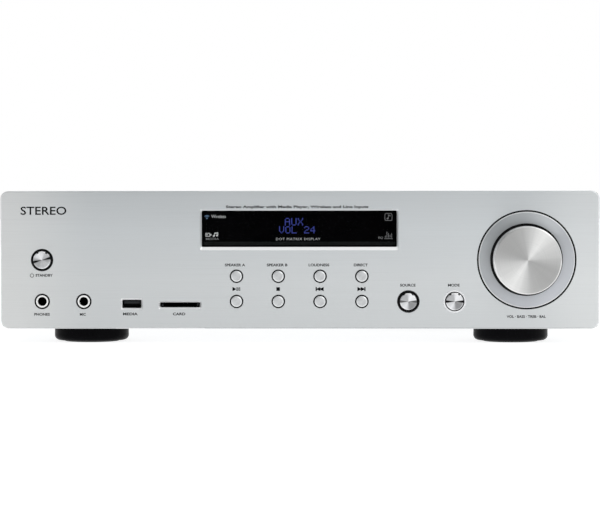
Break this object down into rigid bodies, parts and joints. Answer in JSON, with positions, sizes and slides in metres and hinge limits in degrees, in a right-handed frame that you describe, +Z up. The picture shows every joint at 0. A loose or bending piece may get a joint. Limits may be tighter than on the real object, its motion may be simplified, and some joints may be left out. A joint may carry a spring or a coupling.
{
  "type": "stereo receiver",
  "caption": "Full-width hi-fi stereo amplifier-receiver with a brushed fascia, dark display window, round push keys, a large volume knob in a dished ring, and front and rear sockets.",
  "frame": {"origin": "centre of the footprint on the plane the rubber foot pads stand on", "axes": "+X to the right as seen from the front, +Y from the front panel to the back, +Z up"},
  "size_m": [0.43, 0.341, 0.11],
  "materials": {
    "fascia": "fine horizontal brushed grain, clear anodised",
    "window": "dark tinted acrylic, polished",
    "display": "display glass in a black carrier",
    "dish": "turned, satin",
    "knob": "spun face with a polished rim",
    "button": "spun face, anodised",
    "bezel_black": "gloss black",
    "bezel_bright": "bright turned ring",
    "jack": "black body with a nickel bush",
    "connector_steel": "nickel plated",
    "steel": "zinc plated",
    "black_steel": "black oxide",
    "zinc_sheet": "zinc coated sheet",
    "black_sheet": "fine textured black paint",
    "black_plastic": "moulded, matt",
    "foot_plastic": "satin moulding",
    "pad_rubber": "soft, matt",
    "board": "green resist over glass laminate",
    "winding": "steel core with enamelled windings under amber tape",
    "brass_slot": "plain",
    "capacitor_sleeve": "dark sleeve, aluminium top",
    "heatsink_black": "black anodised",
    "relay_case": "clear grey case",
    "ribbon": "grey ribbon with one red edge",
    "gilt": "gold flashed brass",
    "cap_red": "red transparent moulding",
    "cap_black": "black moulding"
  },
  "bodies": {
    "case": {"front_panel": "fascia", "display_window": "window", "display_module": "display", "volume_dish": "dish", "volume_encoder": "steel", "button_bezels": "bezel_black", "mode_bezel": "bezel_bright", "tact_switches": "black_plastic", "phones_jack": "jack", "mic_jack": "jack", "usb_port": "connector_steel", "card_slot": "connector_steel", "front_frame": "black_plastic", "control_board": "board", "main_board": "board", "input_board": "board", "wireless_module": "board", "chassis_base": "zinc_sheet", "rear_panel": "black_sheet", "top_cover": "black_sheet", "feet": "foot_plastic", "foot_pads": "pad_rubber", "foot_screws": "black_steel", "transformer": "winding", "transformer_clamp": "steel", "standoffs": "brass_slot", "filter_capacitors": "capacitor_sleeve", "heatsink": "heatsink_black", "output_transistors": "black_plastic", "speaker_relays": "relay_case", "ribbon_cable": "ribbon", "speaker_terminal_block": "black_plastic", "terminal_posts": "gilt", "phono_block": "black_plastic", "phono_sockets": "gilt", "mains_inlet": "black_plastic", "case_screws": "black_steel", "bottom_screws": "black_steel", "internal_screws": "steel"},
    "volume_knob": {"volume_knob": "knob", "encoder_shaft": "steel"},
    "standby_button": {"standby_button": "button"},
    "source_button": {"source_button": "button"},
    "mode_button": {"mode_button": "button"},
    "key_speaker_a": {"key_speaker_a": "button"},
    "key_speaker_b": {"key_speaker_b": "button"},
    "key_loudness": {"key_loudness": "button"},
    "key_direct": {"key_direct": "button"},
    "key_play_pause": {"key_play_pause": "button"},
    "key_stop": {"key_stop": "button"},
    "key_previous": {"key_previous": "button"},
    "key_next": {"key_next": "button"},
    "terminal_cap_a_right_minus": {"terminal_cap_a_right_minus": "cap_black"},
    "terminal_cap_a_right_plus": {"terminal_cap_a_right_plus": "cap_red"},
    "terminal_cap_a_left_minus": {"terminal_cap_a_left_minus": "cap_black"},
    "terminal_cap_a_left_plus": {"terminal_cap_a_left_plus": "cap_red"},
    "terminal_cap_b_right_minus": {"terminal_cap_b_right_minus": "cap_black"},
    "terminal_cap_b_right_plus": {"terminal_cap_b_right_plus": "cap_red"},
    "terminal_cap_b_left_minus": {"terminal_cap_b_left_minus": "cap_black"},
    "terminal_cap_b_left_plus": {"terminal_cap_b_left_plus": "cap_red"}
  },
  "joints": [
    {"name": "volume_turn", "type": "hinge", "parent": "case", "child": "volume_knob", "pos_m": [0.163, -0.1535, 0.0605], "axis": [0, 1, 0], "continuous": true},
    {"name": "standby_button_press", "type": "slide", "parent": "case", "child": "standby_button", "axis": [0, 1, 0], "range_m": [0, 0.0012], "stiffness_N_per_m": 1200, "springref_m": -0.0005},
    {"name": "source_button_press", "type": "slide", "parent": "case", "child": "source_button", "axis": [0, 1, 0], "range_m": [0, 0.0012], "stiffness_N_per_m": 1200, "springref_m": -0.0005},
    {"name": "mode_button_press", "type": "slide", "parent": "case", "child": "mode_button", "axis": [0, 1, 0], "range_m": [0, 0.0012], "stiffness_N_per_m": 1200, "springref_m": -0.0005},
    {"name": "key_speaker_a_press", "type": "slide", "parent": "case", "child": "key_speaker_a", "axis": [0, 1, 0], "range_m": [0, 0.0008], "stiffness_N_per_m": 1400, "springref_m": -0.0005},
    {"name": "key_speaker_b_press", "type": "slide", "parent": "case", "child": "key_speaker_b", "axis": [0, 1, 0], "range_m": [0, 0.0008], "stiffness_N_per_m": 1400, "springref_m": -0.0005},
    {"name": "key_loudness_press", "type": "slide", "parent": "case", "child": "key_loudness", "axis": [0, 1, 0], "range_m": [0, 0.0008], "stiffness_N_per_m": 1400, "springref_m": -0.0005},
    {"name": "key_direct_press", "type": "slide", "parent": "case", "child": "key_direct", "axis": [0, 1, 0], "range_m": [0, 0.0008], "stiffness_N_per_m": 1400, "springref_m": -0.0005},
    {"name": "key_play_pause_press", "type": "slide", "parent": "case", "child": "key_play_pause", "axis": [0, 1, 0], "range_m": [0, 0.0008], "stiffness_N_per_m": 1400, "springref_m": -0.0005},
    {"name": "key_stop_press", "type": "slide", "parent": "case", "child": "key_stop", "axis": [0, 1, 0], "range_m": [0, 0.0008], "stiffness_N_per_m": 1400, "springref_m": -0.0005},
    {"name": "key_previous_press", "type": "slide", "parent": "case", "child": "key_previous", "axis": [0, 1, 0], "range_m": [0, 0.0008], "stiffness_N_per_m": 1400, "springref_m": -0.0005},
    {"name": "key_next_press", "type": "slide", "parent": "case", "child": "key_next", "axis": [0, 1, 0], "range_m": [0, 0.0008], "stiffness_N_per_m": 1400, "springref_m": -0.0005},
    {"name": "terminal_cap_a_right_minus_unscrew", "type": "slide", "parent": "case", "child": "terminal_cap_a_right_minus", "axis": [0, 1, 0], "range_m": [0, 0.005]},
    {"name": "terminal_cap_a_right_plus_unscrew", "type": "slide", "parent": "case", "child": "terminal_cap_a_right_plus", "axis": [0, 1, 0], "range_m": [0, 0.005]},
    {"name": "terminal_cap_a_left_minus_unscrew", "type": "slide", "parent": "case", "child": "terminal_cap_a_left_minus", "axis": [0, 1, 0], "range_m": [0, 0.005]},
    {"name": "terminal_cap_a_left_plus_unscrew", "type": "slide", "parent": "case", "child": "terminal_cap_a_left_plus", "axis": [0, 1, 0], "range_m": [0, 0.005]},
    {"name": "terminal_cap_b_right_minus_unscrew", "type": "slide", "parent": "case", "child": "terminal_cap_b_right_minus", "axis": [0, 1, 0], "range_m": [0, 0.005]},
    {"name": "terminal_cap_b_right_plus_unscrew", "type": "slide", "parent": "case", "child": "terminal_cap_b_right_plus", "axis": [0, 1, 0], "range_m": [0, 0.005]},
    {"name": "terminal_cap_b_left_minus_unscrew", "type": "slide", "parent": "case", "child": "terminal_cap_b_left_minus", "axis": [0, 1, 0], "range_m": [0, 0.005]},
    {"name": "terminal_cap_b_left_plus_unscrew", "type": "slide", "parent": "case", "child": "terminal_cap_b_left_plus", "axis": [0, 1, 0], "range_m": [0, 0.005]}
  ]
}
